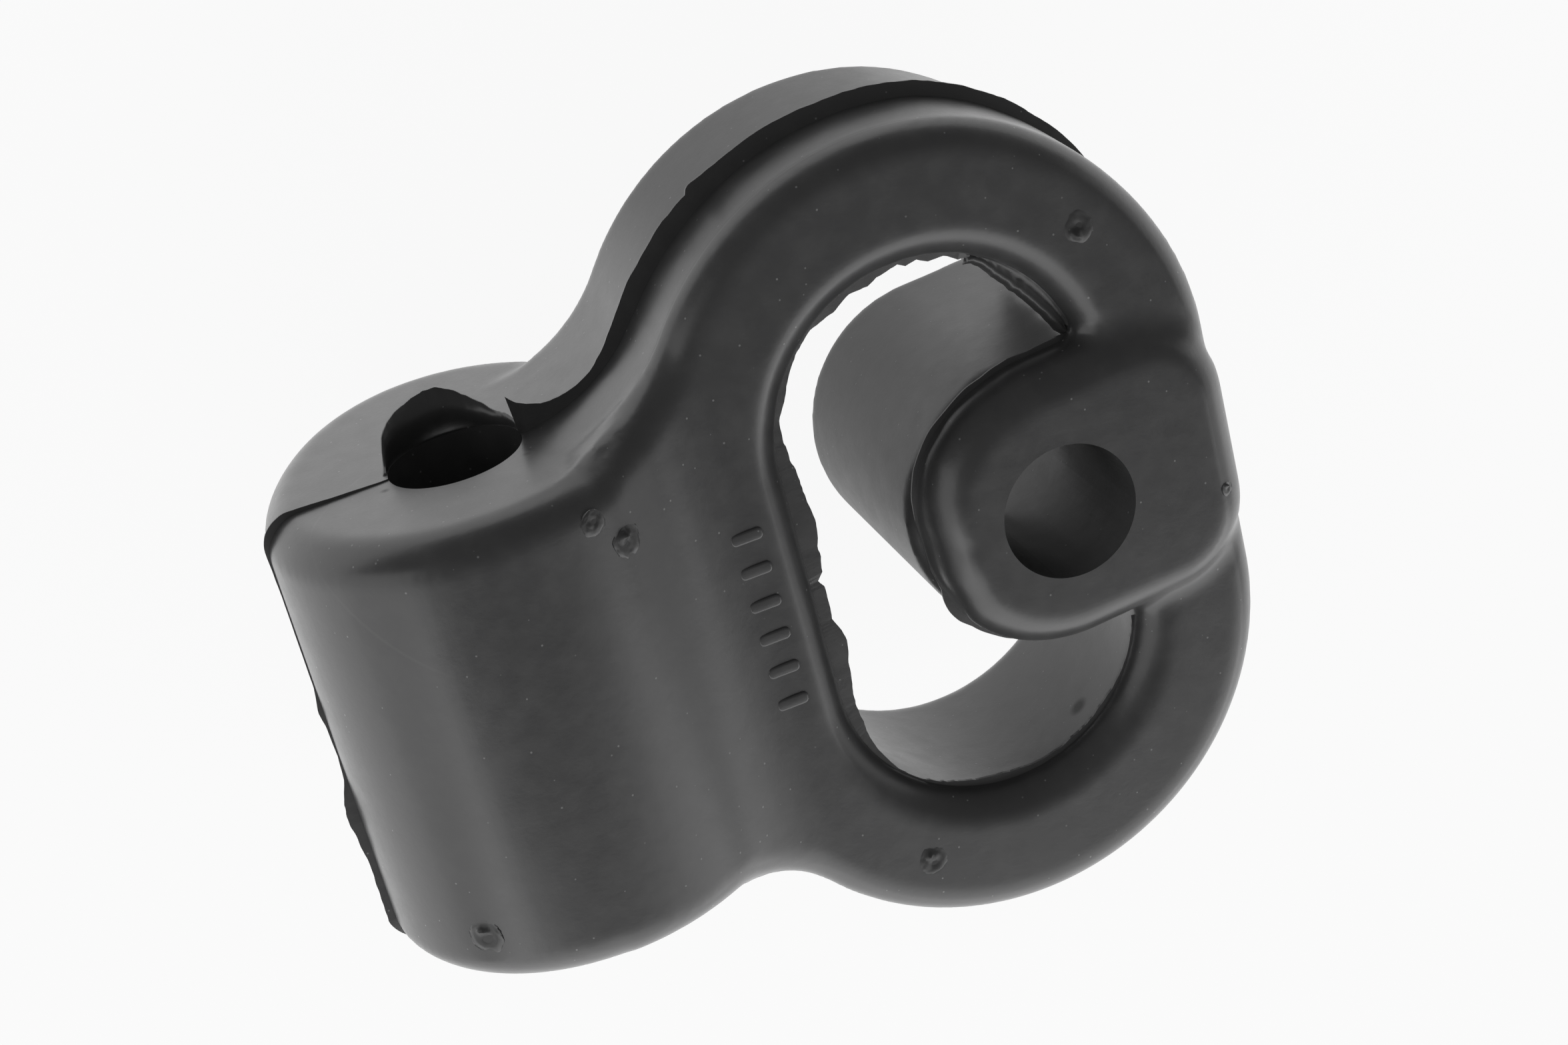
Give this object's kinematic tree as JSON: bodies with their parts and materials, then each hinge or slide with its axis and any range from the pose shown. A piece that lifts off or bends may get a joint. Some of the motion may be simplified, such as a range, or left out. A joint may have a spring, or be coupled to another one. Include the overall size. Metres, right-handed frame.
{
  "type": "muffler rubber buffer",
  "caption": "Moulded rubber exhaust hanger: an oval block with a bore, a flat ring with an obround opening, and a boss with a cross bore that stands across the opening.",
  "frame": {"origin": "under the middle of the bounding box, at the height of the lowest point, the back of the block", "axes": "+X from the block to the ring, +Y along the block's bore, +Z along the boss's bore towards the front of the ring"},
  "size_m": [0.0714, 0.0654, 0.0365],
  "materials": {
    "rubber": "matte moulded rubber"
  },
  "bodies": {
    "root": {"rubber_buffer": "rubber"}
  },
  "joints": []
}
